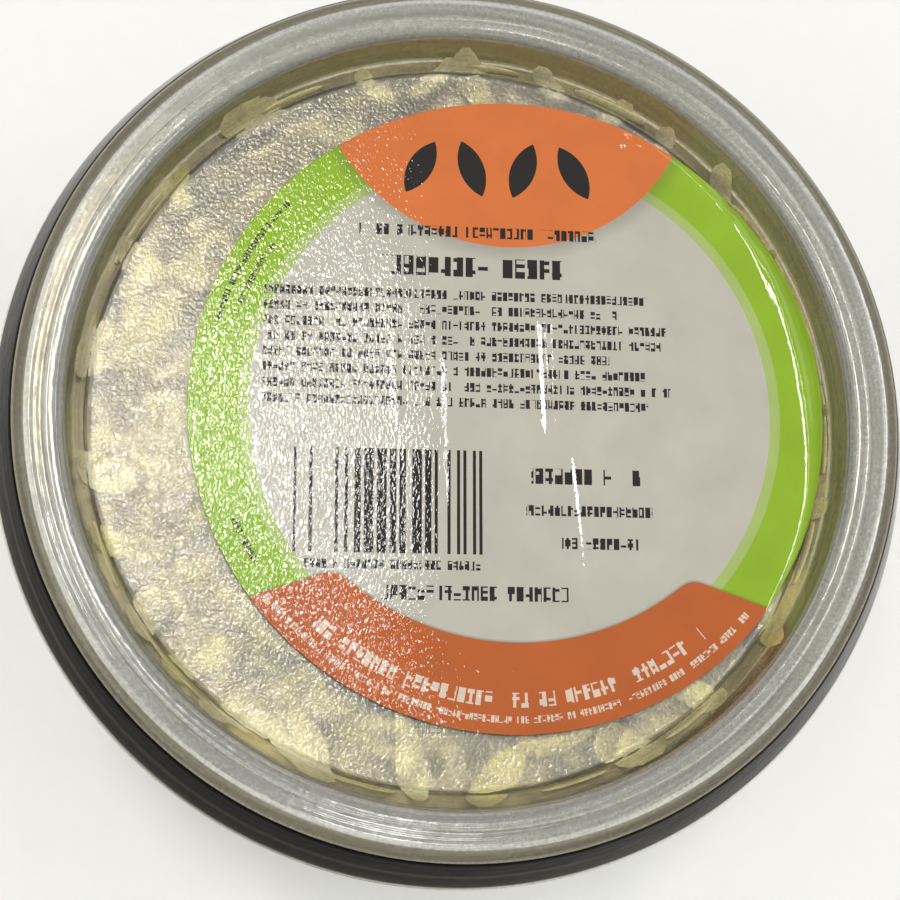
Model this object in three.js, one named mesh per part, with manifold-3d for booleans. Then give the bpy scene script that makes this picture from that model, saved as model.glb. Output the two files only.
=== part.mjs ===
// A shut, clear plastic tub of coleslaw: a round tapered tub, a snap lid with a sunken panel,
// a round label stuck on that panel, and the shredded salad that fills the tub up to the lid.
// Millimetres, +Z up. The origin is at the middle of the foot ring's flat underside.
// The label reads upright with +Y towards its top and +X to its right.

import * as THREE from 'three';
import { mergeVertices } from 'three/addons/utils/BufferGeometryUtils.js';
import Module from 'manifold-3d';

// Driving sizes of the whole pack
const TOTAL_HEIGHT = 62;
const FACETS = 60;

// Tub: outer sizes, with a straight tapered wall between the foot's corner and the flange
const TUB_WALL = 0.8;
const FOOT_RADIUS = 45.3;
const FOOT_WIDTH = 2.6;
const BASE_RECESS = 1;
const FOOT_CORNER = 2.4;
const WALL_TOP_RADIUS = 52.2;
const WALL_TOP_HEIGHT = 59.1;
const FLANGE_REACH = 55;
const FLANGE_BEND = 1.6;
const FLANGE_FILLET = 0.6;
const FLANGE_SLOPE = 20;
const FLANGE_DROP = 3.8;

// Lid: sizes of its upper surface
const LID_WALL = 0.75;
const PANEL_DEPTH = 8.2;
const WELL_FOOT_RADIUS = 48.75;
const WELL_SLOPE = 16.4;
const PANEL_FILLET = 1.3;
const CROWN_INNER_BEND = 1.8;
const CROWN_OUTER_RADIUS = 55.4;
const CROWN_OUTER_BEND = 2.6;
const SKIRT_SLOPE = 21.3;
const SKIRT_HEIGHT = 8.8;
const SNAP_BEAD = 0.9;

// Label: a thin round sticker, off the panel's centre
const LABEL_RADIUS = 42.5;
const LABEL_CENTRE = new THREE.Vector2(7.2, 1.8);
const LABEL_THICKNESS = 0.2;
const LABEL_GAP = 0.15;
const LABEL_FACETS = 40;

// Salad: a core a little smaller than the tub's inside, with shreds fused on
const SALAD_GAP = 0.35;
const CORE_INSET = 0.7;
const CORE_DIP = 2.1;
const CORE_FACETS = 36;
const TOP_SHREDS = 38;
const SIDE_SHREDS = 34;
const BASE_SHREDS = 9;
const FINEST_DETAIL = 0.08;
const FINEST_STEP = 1e-3;

const panelHeight = TOTAL_HEIGHT - PANEL_DEPTH;
const radians = THREE.MathUtils.degToRad;
const slope = (angle) => Math.tan(radians(angle));
const at = (radius, height) => new THREE.Vector2(radius, height);

// Points of a round stretch in the radius-height plane, from one angle to another
function arc(centre, radius, from, to, steps) {
  return Array.from({ length: steps + 1 }, (_, i) => {
    const angle = radians(from + ((to - from) * i) / steps);
    return at(centre.x + radius * Math.cos(angle), centre.y + radius * Math.sin(angle));
  });
}

// The line's copy at a distance to its left, with mitred corners
function offsetLine(line, distance) {
  const normalOf = (a, b) => {
    const along = b.clone().sub(a).normalize();
    return at(-along.y, along.x);
  };
  return line.map((point, i) => {
    const before = i > 0 ? normalOf(line[i - 1], point) : null;
    const after = i < line.length - 1 ? normalOf(point, line[i + 1]) : null;
    const mitre = (before ?? after).clone().add(after ?? before).normalize();
    return point.clone().addScaledVector(mitre, distance / mitre.dot(before ?? after));
  });
}

function turned(profile) {
  return new THREE.LatheGeometry(profile, FACETS).rotateX(Math.PI / 2);
}

// Tub
const wallFootRadius = FOOT_RADIUS + FOOT_CORNER;
const wallDraft = Math.atan2(WALL_TOP_RADIUS - wallFootRadius, WALL_TOP_HEIGHT - FOOT_CORNER);

function tubGeometry() {
  const draft = THREE.MathUtils.radToDeg(wallDraft);
  const footInner = FOOT_RADIUS - FOOT_WIDTH;
  const bendHeight = WALL_TOP_HEIGHT + FLANGE_FILLET - FLANGE_BEND;
  const outside = [
    at(0, BASE_RECESS),
    at(footInner - BASE_RECESS, BASE_RECESS),
    at(footInner, 0),
    ...arc(at(FOOT_RADIUS, FOOT_CORNER), FOOT_CORNER, -90, -draft, 3),
    ...arc(at(WALL_TOP_RADIUS + FLANGE_FILLET, WALL_TOP_HEIGHT), FLANGE_FILLET, 180 - draft, 90, 1),
    ...arc(at(FLANGE_REACH, bendHeight), FLANGE_BEND, 90, FLANGE_SLOPE, 2),
  ];
  const bendEnd = outside.at(-1);
  outside.push(at(bendEnd.x + FLANGE_DROP * slope(FLANGE_SLOPE), bendEnd.y - FLANGE_DROP));
  const inside = offsetLine(outside, TUB_WALL);
  return turned([...outside, ...inside.reverse()]);
}

// The tub's inner radius at a height above its floor
function innerRadius(height) {
  return wallFootRadius - TUB_WALL + (height - FOOT_CORNER) * Math.tan(wallDraft);
}

// Lid
const wellLean = slope(WELL_SLOPE);
const filletTangent = PANEL_FILLET * slope((90 - WELL_SLOPE) / 2);
const panelRadius = WELL_FOOT_RADIUS - filletTangent;

function lidGeometry() {
  const crownCorner = WELL_FOOT_RADIUS + PANEL_DEPTH * wellLean;
  const crownInner = crownCorner + CROWN_INNER_BEND * slope((90 - WELL_SLOPE) / 2);
  const outerBend = at(CROWN_OUTER_RADIUS, TOTAL_HEIGHT - CROWN_OUTER_BEND);
  const top = [
    at(0, panelHeight),
    ...arc(at(panelRadius, panelHeight + PANEL_FILLET), PANEL_FILLET, -90, -WELL_SLOPE, 2),
    ...arc(at(crownInner, TOTAL_HEIGHT - CROWN_INNER_BEND), CROWN_INNER_BEND, 180 - WELL_SLOPE, 90, 3),
    ...arc(outerBend, CROWN_OUTER_BEND, 90, SKIRT_SLOPE, 3),
  ];
  const bendEnd = top.at(-1);
  const skirtDrop = bendEnd.y - (TOTAL_HEIGHT - SKIRT_HEIGHT);
  top.push(at(bendEnd.x + skirtDrop * slope(SKIRT_SLOPE), bendEnd.y - skirtDrop));
  const underside = offsetLine(top, -LID_WALL).reverse();

  // The snap bead stands in from the skirt's lower edge, under the tub's flange.
  const edge = underside[0];
  const bead = [at(edge.x - SNAP_BEAD, edge.y + 0.5), at(edge.x - SNAP_BEAD / 2, edge.y + 1.1)];
  return turned([...top, edge, ...bead, ...underside.slice(1)].reverse());
}

// Where a point of the flat sticker lies once it is pressed on the panel and up its fillet
function onPanel(x, y, lift) {
  const reach = Math.hypot(x, y);
  const past = reach - panelRadius;
  if (past <= 0) return new THREE.Vector3(x, y, panelHeight + lift);
  const steepest = radians(90 - WELL_SLOPE);
  const turn = Math.min(past / PANEL_FILLET, steepest);
  const climb = past - turn * PANEL_FILLET;
  const bend = PANEL_FILLET - lift;
  const radius = panelRadius + bend * Math.sin(turn) + climb * Math.cos(turn);
  const height = panelHeight + PANEL_FILLET - bend * Math.cos(turn) + climb * Math.sin(turn);
  return new THREE.Vector3((x / reach) * radius, (y / reach) * radius, height);
}

// A closed solid through rings of equally many points, each end closed by a fan to its own centre
function ringSolid(rings) {
  const count = rings[0].length;
  const points = rings.flat();
  const centres = [rings[0], rings.at(-1)].map((ring) =>
    ring.reduce((sum, point) => sum.add(point), new THREE.Vector3()).divideScalar(count));
  const faces = [];
  for (let i = 0; i < count; i += 1) {
    const next = (i + 1) % count;
    faces.push(points.length, next, i);
    faces.push(points.length + 1, (rings.length - 1) * count + i, (rings.length - 1) * count + next);
    for (let row = 0; row < rings.length - 1; row += 1) {
      const [a, b] = [row * count + i, row * count + next];
      faces.push(a, b, b + count, a, b + count, a + count);
    }
  }
  const geometry = new THREE.BufferGeometry().setFromPoints([...points, ...centres]);
  geometry.setIndex(faces);
  geometry.computeVertexNormals();
  return geometry;
}

function labelGeometry() {
  const ring = (share, lift) => Array.from({ length: LABEL_FACETS }, (_, i) => {
    const angle = (2 * Math.PI * i) / LABEL_FACETS;
    const x = LABEL_CENTRE.x + LABEL_RADIUS * share * Math.cos(angle);
    const y = LABEL_CENTRE.y + LABEL_RADIUS * share * Math.sin(angle);
    return onPanel(x, y, lift);
  });
  // Rings near the edge only, where the sticker bends up the fillet
  const shares = [0.92, 0.97, 1];
  const under = shares.map((share) => ring(share, LABEL_GAP));
  const over = shares.map((share) => ring(share, LABEL_GAP + LABEL_THICKNESS));
  return ringSolid([...under, ...over.reverse()]);
}

// Salad: one seeded stream of random numbers for every shred
function randomStream(seed) {
  let state = seed;
  return (low, high) => {
    state = (Math.imul(state, 1664525) + 1013904223) >>> 0;
    return low + ((high - low) * state) / 4294967296;
  };
}

const salad = {
  floor: BASE_RECESS + TUB_WALL + SALAD_GAP,
  ceiling: panelHeight - LID_WALL - SALAD_GAP,
};

// Height of the core's uneven top, and of its underside, at a place
function coreTop(x, y) {
  const swell = 0.5 * Math.sin(x * 0.21 + 1.3) * Math.cos(y * 0.17);
  const ripple = 0.3 * Math.sin(y * 0.33 - x * 0.12);
  return salad.ceiling - CORE_DIP + swell + ripple;
}

function coreGeometry() {
  const base = salad.floor + CORE_INSET;
  const ring = (shape) => Array.from({ length: CORE_FACETS }, (_, i) => {
    const angle = (2 * Math.PI * i) / CORE_FACETS;
    return shape(Math.cos(angle), Math.sin(angle));
  });
  const flat = (radius, height) => ring((c, s) => new THREE.Vector3(radius * c, radius * s, height));
  const bumpy = (radius) => ring((c, s) => {
    const [x, y] = [radius * c, radius * s];
    return new THREE.Vector3(x, y, coreTop(x, y));
  });
  const wallAt = (height) => innerRadius(height) - SALAD_GAP - CORE_INSET;
  const shoulder = salad.ceiling - 4;
  return ringSolid([
    flat(FOOT_RADIUS / 2, base),
    flat(FOOT_RADIUS - CORE_INSET, base),
    flat(wallAt(base + 1.6), base + 1.6),
    flat(wallAt(shoulder / 2), shoulder / 2),
    flat(wallAt(shoulder), shoulder),
    bumpy(wallAt(shoulder) - 1.2),
    bumpy(38),
    bumpy(24),
    bumpy(10),
  ]);
}

// A shred is a bent strip: stations along it, each with its place, its outward and sideways directions.
function shredGeometry(stations, width, thickness) {
  const last = stations.length - 1;
  const rings = stations.map(({ place, out, side }, i) => {
    const taper = i === 0 || i === last ? 0.6 : 1;
    const half = (width * taper) / 2;
    const corner = (across, depth) =>
      place.clone().addScaledVector(side, across * half).addScaledVector(out, depth * thickness);
    return [corner(1, 0), corner(1, -1), corner(-1, -1), corner(-1, 0)];
  });
  return ringSolid(rings);
}

// Stations of a shred that lies on a level face, its broad side up (or down, for the base)
function levelStations({ x, y, heading, bend, length, height, up, steps }) {
  const out = new THREE.Vector3(0, 0, up);
  const place = new THREE.Vector3(x, y, 0);
  const stations = [];
  for (let i = 0; i <= steps; i += 1) {
    const angle = heading + bend * (i / steps - 0.5);
    const along = new THREE.Vector3(Math.cos(angle), Math.sin(angle), 0);
    stations.push({ place: place.clone(), out, side: new THREE.Vector3().crossVectors(along, out) });
    place.addScaledVector(along, length / steps);
  }
  const middle = stations[0].place.clone().add(stations[steps].place).multiplyScalar(0.5);
  stations.forEach((station, i) => {
    const arch = Math.sin((Math.PI * i) / steps);
    station.place.add(new THREE.Vector3(x, y, 0)).sub(middle);
    station.place.z = height(station.place.x, station.place.y) + up * arch * 0.35;
  });
  return stations;
}

// Stations of a shred that lies against the tub's wall
function wallStations({ turn, height, climb, length, steps, recess }) {
  return Array.from({ length: steps + 1 }, (_, i) => {
    const run = length * (i / steps - 0.5);
    const z = height + run * Math.sin(climb);
    const radius = innerRadius(z) - SALAD_GAP - recess;
    const angle = turn + (run * Math.cos(climb)) / radius;
    const out = new THREE.Vector3(Math.cos(angle), Math.sin(angle), 0);
    const along = new THREE.Vector3(-out.y * Math.cos(climb), out.x * Math.cos(climb), Math.sin(climb));
    return {
      place: out.clone().multiplyScalar(radius).setZ(z),
      out,
      side: new THREE.Vector3().crossVectors(along, out),
    };
  });
}

// Even, unordered places on a disc, by the golden angle
function discPlaces(count, radius) {
  const golden = Math.PI * (3 - Math.sqrt(5));
  return Array.from({ length: count }, (_, i) => {
    const reach = radius * Math.sqrt((i + 0.5) / count);
    return { x: reach * Math.cos(i * golden), y: reach * Math.sin(i * golden) };
  });
}

function saladShreds() {
  const random = randomStream(20);
  const shreds = [];
  const rimReach = innerRadius(salad.ceiling) - SALAD_GAP - 1.6;
  const underLid = ({ place }) => Math.hypot(place.x, place.y) < rimReach;
  const onWall = ({ place }) => place.z > salad.floor + 2.5 && place.z < salad.ceiling - 3.5;

  for (const { x, y } of discPlaces(TOP_SHREDS, 45)) {
    const lift = random(1.1, 1.7);
    const highest = salad.ceiling - random(0.35, 0.8);
    const stations = levelStations({
      x, y, heading: random(0, Math.PI), bend: random(-1.1, 1.1), length: random(14, 30),
      up: 1, steps: 4, height: (px, py) => Math.min(coreTop(px, py) + lift, highest),
    }).filter(underLid);
    if (stations.length > 2) shreds.push(shredGeometry(stations, random(1.8, 4.2), 1.9));
  }

  // The golden ratio spreads the levels evenly up the wall.
  for (let i = 0; i < SIDE_SHREDS; i += 1) {
    const level = (i * 0.618034) % 1;
    const stations = wallStations({
      turn: (2 * Math.PI * i) / SIDE_SHREDS + random(-0.1, 0.1), height: 6 + 39 * level,
      climb: random(-0.6, 0.6), length: random(14, 26), steps: 4, recess: random(0, 0.3),
    }).filter(onWall);
    if (stations.length > 2) shreds.push(shredGeometry(stations, random(1.8, 4.2), 1.7));
  }

  for (const { x, y } of discPlaces(BASE_SHREDS, 34)) {
    const lowest = salad.floor + random(0.36, 0.6);
    const stations = levelStations({
      x, y, heading: random(0, Math.PI), bend: random(-0.9, 0.9), length: random(14, 24),
      up: -1, steps: 3, height: () => lowest,
    });
    shreds.push(shredGeometry(stations, random(1.8, 3.6), 1.5));
  }
  return shreds;
}

const wasm = await Module();
wasm.setup();

function toSolid(geometry) {
  const bare = geometry.clone();
  bare.deleteAttribute('normal');
  bare.deleteAttribute('uv');
  const merged = mergeVertices(bare, FINEST_STEP);
  return new wasm.Manifold(new wasm.Mesh({
    numProp: 3,
    vertProperties: new Float32Array(merged.attributes.position.array),
    triVerts: new Uint32Array(merged.index.array),
  }));
}

function toGeometry(solid) {
  const { numProp, vertProperties, triVerts } = solid.getMesh();
  const geometry = new THREE.BufferGeometry();
  geometry.setAttribute('position', new THREE.BufferAttribute(new Float32Array(vertProperties), numProp));
  geometry.setIndex(new THREE.BufferAttribute(new Uint32Array(triVerts), 1));
  geometry.computeVertexNormals();
  return geometry;
}

// The joined solid without the loose scraps and sealed hollows that joining leaves
function fused(geometries) {
  let body = geometries.map(toSolid).reduce((sum, piece) => sum.add(piece)).simplify(FINEST_DETAIL);
  let shells;
  do {
    shells = toSolid(toGeometry(body)).decompose();
    body = shells.reduce((largest, shell) => (shell.volume() > largest.volume() ? shell : largest));
  } while (shells.length > 1);
  return toGeometry(body);
}

function named(name, geometry, color, roughness) {
  const mesh = new THREE.Mesh(geometry, new THREE.MeshStandardMaterial({ color, roughness, metalness: 0 }));
  mesh.name = name;
  return mesh;
}

const pack = new THREE.Group();
pack.add(
  named('tub', tubGeometry(), '#c4c6bd', 0.15),
  named('lid', lidGeometry(), '#bfc2bf', 0.2),
  named('label', labelGeometry(), '#97c12c', 0.35),
  named('coleslaw', fused([coreGeometry(), ...saladShreds()]), '#cfcd9d', 0.5),
);

export default pack;
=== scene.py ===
"""A shut, clear plastic tub of coleslaw: tub, snap lid, round sticker and the shredded salad inside.

All sizes are metres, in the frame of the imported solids: +Z up through the lid, the sticker upright
with +Y towards its top. Each operator builds one piece, or one group of like pieces.
"""

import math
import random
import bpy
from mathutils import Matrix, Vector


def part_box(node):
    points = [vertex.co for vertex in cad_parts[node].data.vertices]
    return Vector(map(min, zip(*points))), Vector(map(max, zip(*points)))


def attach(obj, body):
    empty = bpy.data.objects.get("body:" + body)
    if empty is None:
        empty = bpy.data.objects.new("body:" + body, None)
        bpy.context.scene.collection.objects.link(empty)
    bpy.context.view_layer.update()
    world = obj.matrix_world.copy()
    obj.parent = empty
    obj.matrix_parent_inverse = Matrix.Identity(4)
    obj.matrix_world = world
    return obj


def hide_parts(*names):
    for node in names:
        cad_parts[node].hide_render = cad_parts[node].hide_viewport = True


bl_info = {
    "name": "Coleslaw Tub",
    "version": (1, 0, 0),
    "blender": (4, 5, 0),
    "location": "View3D > Sidebar > Coleslaw",
    "description": "Builds a shut clear tub of coleslaw with its lid, sticker and shreds",
    "category": "Add Mesh",
}

import bpy
import numpy as np
from bpy.props import FloatProperty, FloatVectorProperty, IntProperty, PointerProperty
from mathutils import Matrix, Vector, noise

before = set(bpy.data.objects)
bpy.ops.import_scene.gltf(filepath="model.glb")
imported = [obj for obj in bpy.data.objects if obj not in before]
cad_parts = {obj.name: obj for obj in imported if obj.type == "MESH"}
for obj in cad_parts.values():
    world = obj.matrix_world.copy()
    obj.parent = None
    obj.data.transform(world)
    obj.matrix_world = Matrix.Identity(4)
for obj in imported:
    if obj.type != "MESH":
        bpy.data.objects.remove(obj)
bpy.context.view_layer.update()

MM = 0.001
LID_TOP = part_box("lid")[1][2]
SPIN_STEPS = 192
# From this height up the tub takes the flange's dark olive tint, which is painted shade.
SHADE_TINT_FROM = LID_TOP - 8.4 * MM
# Above and outside these the salad is brine drawn up round the panel, tinted darker as painted shade
BRINE_SHADE_HEIGHT = LID_TOP - 9.6 * MM
BRINE_SHADE_RADIUS = 48.0 * MM


def linear(hex_colour):
    """The linear colour that an sRGB hex value such as #C8B090 stands for."""
    shares = [int(hex_colour[i : i + 2], 16) / 255 for i in (1, 3, 5)]
    return tuple(s / 12.92 if s <= 0.04045 else ((s + 0.055) / 1.055) ** 2.4 for s in shares) + (1.0,)


def length(name, millimetres, description):
    return FloatProperty(
        name=name, description=description, default=millimetres * MM, precision=5, unit="LENGTH")


def angle(name, degrees, description):
    return FloatProperty(
        name=name, description=description, default=math.radians(degrees), subtype="ANGLE")


def colour(name, hex_colour, description):
    return FloatVectorProperty(
        name=name, description=description, default=linear(hex_colour), size=4, subtype="COLOR")


class TubSizes(bpy.types.PropertyGroup):
    wall: length("Wall", 0.8, "Thickness of the tub's wall and base")
    foot_radius: length("Foot radius", 45.3, "Outer edge of the flat foot ring")
    foot_width: length("Foot width", 2.6, "Width of the flat foot ring")
    base_recess: length("Base recess", 1.0, "How far the base stands above the foot ring")
    foot_corner: length("Foot corner", 2.4, "Radius of the corner between foot and wall")
    wall_top_radius: length("Wall top radius", 52.2, "Outer radius of the wall under the flange")
    wall_top_height: length("Wall top height", 59.1, "Height at which the wall meets the flange")
    flange_reach: length("Flange reach", 55.0, "Radius at which the flange turns down")
    flange_bend: length("Flange bend", 1.6, "Radius of the flange's outer bend")
    flange_fillet: length("Flange fillet", 0.6, "Radius of the bend from wall to flange")
    flange_slope: angle("Flange slope", 20, "Lean of the flange's turned-down edge")
    flange_drop: length("Flange drop", 3.8, "Height of the flange's turned-down edge")


class LidSizes(bpy.types.PropertyGroup):
    wall: length("Wall", 0.75, "Thickness of the lid")
    panel_depth: length("Panel depth", 8.2, "How far the panel is sunk below the crown")
    well_foot_radius: length("Well foot radius", 48.75, "Radius where panel and well wall would meet")
    well_slope: angle("Well slope", 16.4, "Lean of the well's wall")
    panel_fillet: length("Panel fillet", 1.3, "Radius between panel and well wall")
    crown_inner_bend: length("Crown inner bend", 1.8, "Radius of the crown's inner shoulder")
    crown_outer_radius: length("Crown outer radius", 55.4, "Radius where the outer bend starts")
    crown_outer_bend: length("Crown outer bend", 2.6, "Radius of the crown's outer bend")
    crown_step: length("Crown step", 0.18, "Height of the fine step round the crown")
    crown_step_radius: length("Crown step radius", 53.3, "Radius of the fine step round the crown")
    skirt_slope: angle("Skirt slope", 21.3, "Lean of the skirt")
    skirt_height: length("Skirt height", 8.8, "Height from the skirt's edge to the crown")
    snap_bead: length("Snap bead", 0.9, "How far the bead stands in under the tub's flange")
    frost_radius: length("Frost radius", 48.4, "Edge of the frosted grain on the panel")


class StickerSizes(bpy.types.PropertyGroup):
    radius: length("Radius", 42.8, "Radius of the sticker")
    centre_x: length("Centre X", 7.2, "How far the sticker sits right of the panel's centre")
    centre_y: length("Centre Y", 1.6, "How far the sticker sits above the panel's centre")
    thickness: length("Thickness", 0.2, "Paper, glue and film together")
    gap: length("Gap", 0.12, "Height of the sticker's underside over the panel")
    edge_bend: length("Edge bend", 4.2, "Radius at which the sticker bridges the panel's fillet")
    crease: length("Crease", 0.13, "Height of the film's creases")


class SaladSizes(bpy.types.PropertyGroup):
    seed: IntProperty(name="Seed", description="Seed of every random draw", default=7)
    top_shreds: IntProperty(name="Top shreds", description="Cabbage strips under the panel", default=170)
    wall_shreds: IntProperty(name="Wall shreds", description="Cabbage strips along the wall", default=640)
    base_shreds: IntProperty(name="Base shreds", description="Cabbage strips on the base", default=190)
    carrots: IntProperty(name="Carrots", description="Sticks of carrot", default=74)
    onions: IntProperty(name="Onions", description="Slivers of onion", default=46)
    specks: IntProperty(name="Specks", description="Ground pepper and mustard", default=150)
    bite: length("Bite", 0.12, "How far what touches the plastic reaches into it")


class Colours(bpy.types.PropertyGroup):
    tub: colour("Tub", "#F1F2EC", "Light that comes through the tub's wall")
    # The flange's dark olive tint is painted shade of the gap round the panel.
    flange: colour("Flange", "#878460", "Light that comes through the tub's flange")
    panel_dry: colour("Panel, dry", "#A9A59A", "Light through the frost where the salad stands clear of it")
    # In frosted_panel the wet tint is also pushed towards -Y as painted light.
    panel_wet: colour("Panel, wet", "#DEDAC4", "Light through the frost where dressing wets it from below")
    orange: colour("Orange", "#D1723A", "Lens on the sticker")
    banner: colour("Banner", "#B75E2C", "Banner on the sticker, printed a little darker than the lens")
    green: colour("Green", "#8EB22A", "Broad ring on the sticker")
    pale_green: colour("Pale green", "#A4B96C", "Narrow ring on the sticker")
    disc: colour("Disc", "#BAB7AB", "Middle of the sticker")
    ink: colour("Ink", "#231F1E", "Dark print")
    light_print: colour("Light print", "#D8C6B6", "Light print on the banner")
    shade: colour("Shade", "#4A4238", "Soft shade printed under the lens and along the banner")
    cream: colour("Cream", "#CBC3AB", "Dressing that clings to the shreds")


class StudioSettings(bpy.types.PropertyGroup):
    distance: length("Distance", 250, "Camera to the middle of the crown")
    tilt: angle("Tilt", 15.16, "Camera's lean from straight above")
    azimuth: angle("Azimuth", -120.2, "Side that the camera leans to, from +X")
    aim_x: length("Aim X", -2.25, "Place on the crown's plane at the picture's middle")
    aim_y: length("Aim Y", -5.8, "Place on the crown's plane at the picture's middle")
    lens: FloatProperty(name="Lens", description="Focal length in millimetres", default=78.1)
    key_power: FloatProperty(name="Key", description="Watts of the key light", default=0.74)
    over_power: FloatProperty(
        name="Overheads", description="Watts of each narrow overhead light", default=0.66)
    warm_power: FloatProperty(name="Warm", description="Watts of the small warm lamp", default=0.16)
    foot_power: FloatProperty(
        name="Foot", description="Watts of the lamp that glints at the panel's foot", default=0.09)
    strip_power: FloatProperty(name="Strips", description="Watts of each long soft light", default=2.3)
    world: FloatProperty(name="World", description="Brightness of the surroundings", default=0.58)


# Outlines, in the plane of radius and height


def arc(centre, radius, start, end, steps):
    """Points of a round stretch from one angle to another, in radians."""
    turns = [start + (end - start) * i / steps for i in range(steps + 1)]
    return [(centre[0] + radius * math.cos(t), centre[1] + radius * math.sin(t)) for t in turns]


def offset_line(line, distance):
    """The line's copy at a distance to its left, with mitred corners."""
    points = [Vector(p) for p in line]
    moved = []
    for i, point in enumerate(points):
        sides = []
        if i > 0:
            sides.append((point - points[i - 1]).normalized())
        if i < len(points) - 1:
            sides.append((points[i + 1] - point).normalized())
        normals = [Vector((-s.y, s.x)) for s in sides]
        mitre = sum(normals, Vector((0, 0))).normalized()
        moved.append(tuple(point + mitre * (distance / mitre.dot(normals[0]))))
    return moved


def wall_draft(tub):
    foot = tub.foot_radius + tub.foot_corner
    return math.atan2(tub.wall_top_radius - foot, tub.wall_top_height - tub.foot_corner)


def outer_radius(tub, height):
    """The tub's outer radius at a height, or at many heights."""
    foot = tub.foot_radius + tub.foot_corner
    return foot + (height - tub.foot_corner) * math.tan(wall_draft(tub))


def inner_radius(tub, height):
    return outer_radius(tub, height) - tub.wall


def panel_height(lid):
    return LID_TOP - lid.panel_depth


def tub_outline(tub):
    draft = wall_draft(tub)
    foot_inner = tub.foot_radius - tub.foot_width
    bend_height = tub.wall_top_height + tub.flange_fillet - tub.flange_bend
    fillet_centre = (tub.wall_top_radius + tub.flange_fillet, tub.wall_top_height)
    outside = [(0, tub.base_recess), (foot_inner - tub.base_recess, tub.base_recess), (foot_inner, 0)]
    outside += arc((tub.foot_radius, tub.foot_corner), tub.foot_corner, -math.pi / 2, -draft, 9)
    # The wall is cut where its clear part ends, behind the lid's skirt.
    outside.append((outer_radius(tub, SHADE_TINT_FROM), SHADE_TINT_FROM))
    outside += arc(fillet_centre, tub.flange_fillet, math.pi - draft, math.pi / 2, 3)
    outside += arc((tub.flange_reach, bend_height), tub.flange_bend, math.pi / 2, tub.flange_slope, 7)
    edge = outside[-1]
    outside.append((edge[0] + tub.flange_drop * math.tan(tub.flange_slope), edge[1] - tub.flange_drop))
    return outside + offset_line(outside, tub.wall)[::-1]


def lid_outline(lid):
    panel = panel_height(lid)
    upright = math.pi / 2 - lid.well_slope
    fillet_start = lid.well_foot_radius - lid.panel_fillet * math.tan(upright / 2)
    inner_top = LID_TOP - lid.crown_step
    corner = lid.well_foot_radius + (inner_top - panel) * math.tan(lid.well_slope)
    bend_start = corner + lid.crown_inner_bend * math.tan(upright / 2)
    step = lid.crown_step_radius
    top = [(0, panel)]
    top += arc((fillet_start, panel + lid.panel_fillet), lid.panel_fillet, -math.pi / 2, -lid.well_slope, 8)
    top += arc(
        (bend_start, inner_top - lid.crown_inner_bend), lid.crown_inner_bend,
        math.pi - lid.well_slope, math.pi / 2, 8)
    # Points close to each bend keep the flats between them flat.
    close = 0.25 * MM
    top += [(bend_start + close, inner_top), (step - lid.crown_step - close, inner_top)]
    top += [(step - lid.crown_step, inner_top), (step, inner_top + 0.3 * lid.crown_step)]
    top += [(step + 0.6 * lid.crown_step, LID_TOP), (step + 0.6 * lid.crown_step + close, LID_TOP)]
    top += [(lid.crown_outer_radius - close, LID_TOP)]
    top += arc(
        (lid.crown_outer_radius, LID_TOP - lid.crown_outer_bend), lid.crown_outer_bend,
        math.pi / 2, lid.skirt_slope, 14)
    drop = top[-1][1] - (LID_TOP - lid.skirt_height)
    top.append((top[-1][0] + drop * math.tan(lid.skirt_slope), top[-1][1] - drop))
    underside = offset_line(top, -lid.wall)[::-1]
    edge = underside[0]
    bead = [
        (edge[0] - lid.snap_bead * 0.8, edge[1] + 0.15 * MM),
        (edge[0] - lid.snap_bead, edge[1] + 0.5 * MM),
        (edge[0] - lid.snap_bead * 0.5, edge[1] + 1.1 * MM),
    ]
    return top + [edge] + bead + underside[1:]


# Modelling steps


def deselect_all():
    if bpy.context.object and bpy.context.object.mode != "OBJECT":
        bpy.ops.object.mode_set(mode="OBJECT")
    bpy.ops.object.select_all(action="DESELECT")


def drawn_line(name, outline):
    """A mesh of one line through the outline's points, drawn by extruding a vertex; left in edit mode."""
    deselect_all()
    bpy.ops.mesh.primitive_plane_add(size=MM)
    piece = bpy.context.object
    piece.name = piece.data.name = name
    bpy.ops.object.mode_set(mode="EDIT")
    bpy.ops.mesh.select_all(action="SELECT")
    bpy.ops.mesh.merge(type="CENTER")
    bpy.ops.transform.translate(value=(outline[0][0], 0, outline[0][1]))
    for (r0, z0), (r1, z1) in zip(outline, outline[1:]):
        bpy.ops.mesh.extrude_region_move(TRANSFORM_OT_translate={"value": (r1 - r0, 0, z1 - z0)})
    return piece


def turned(name, outline, steps=SPIN_STEPS, centre=(0, 0, 0)):
    """The outline spun into a closed, smooth body of revolution."""
    piece = drawn_line(name, outline)
    if centre != (0, 0, 0):
        bpy.ops.mesh.select_all(action="SELECT")
        bpy.ops.transform.translate(value=centre)
    bpy.ops.mesh.select_all(action="SELECT")
    bpy.ops.mesh.spin(steps=steps, angle=math.tau, center=centre, axis=(0, 0, 1))
    bpy.ops.mesh.select_all(action="SELECT")
    bpy.ops.mesh.remove_doubles(threshold=0.002 * MM)
    bpy.ops.mesh.normals_make_consistent(inside=False)
    bpy.ops.object.mode_set(mode="OBJECT")
    bpy.ops.object.shade_smooth_by_angle(angle=math.radians(35))
    return piece


def points_of(mesh):
    flat = np.empty(len(mesh.vertices) * 3)
    mesh.vertices.foreach_get("co", flat)
    return flat.reshape(-1, 3)


def move_points(mesh, points):
    mesh.vertices.foreach_set("co", np.ascontiguousarray(points, dtype=np.float32).ravel())
    mesh.update()


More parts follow.
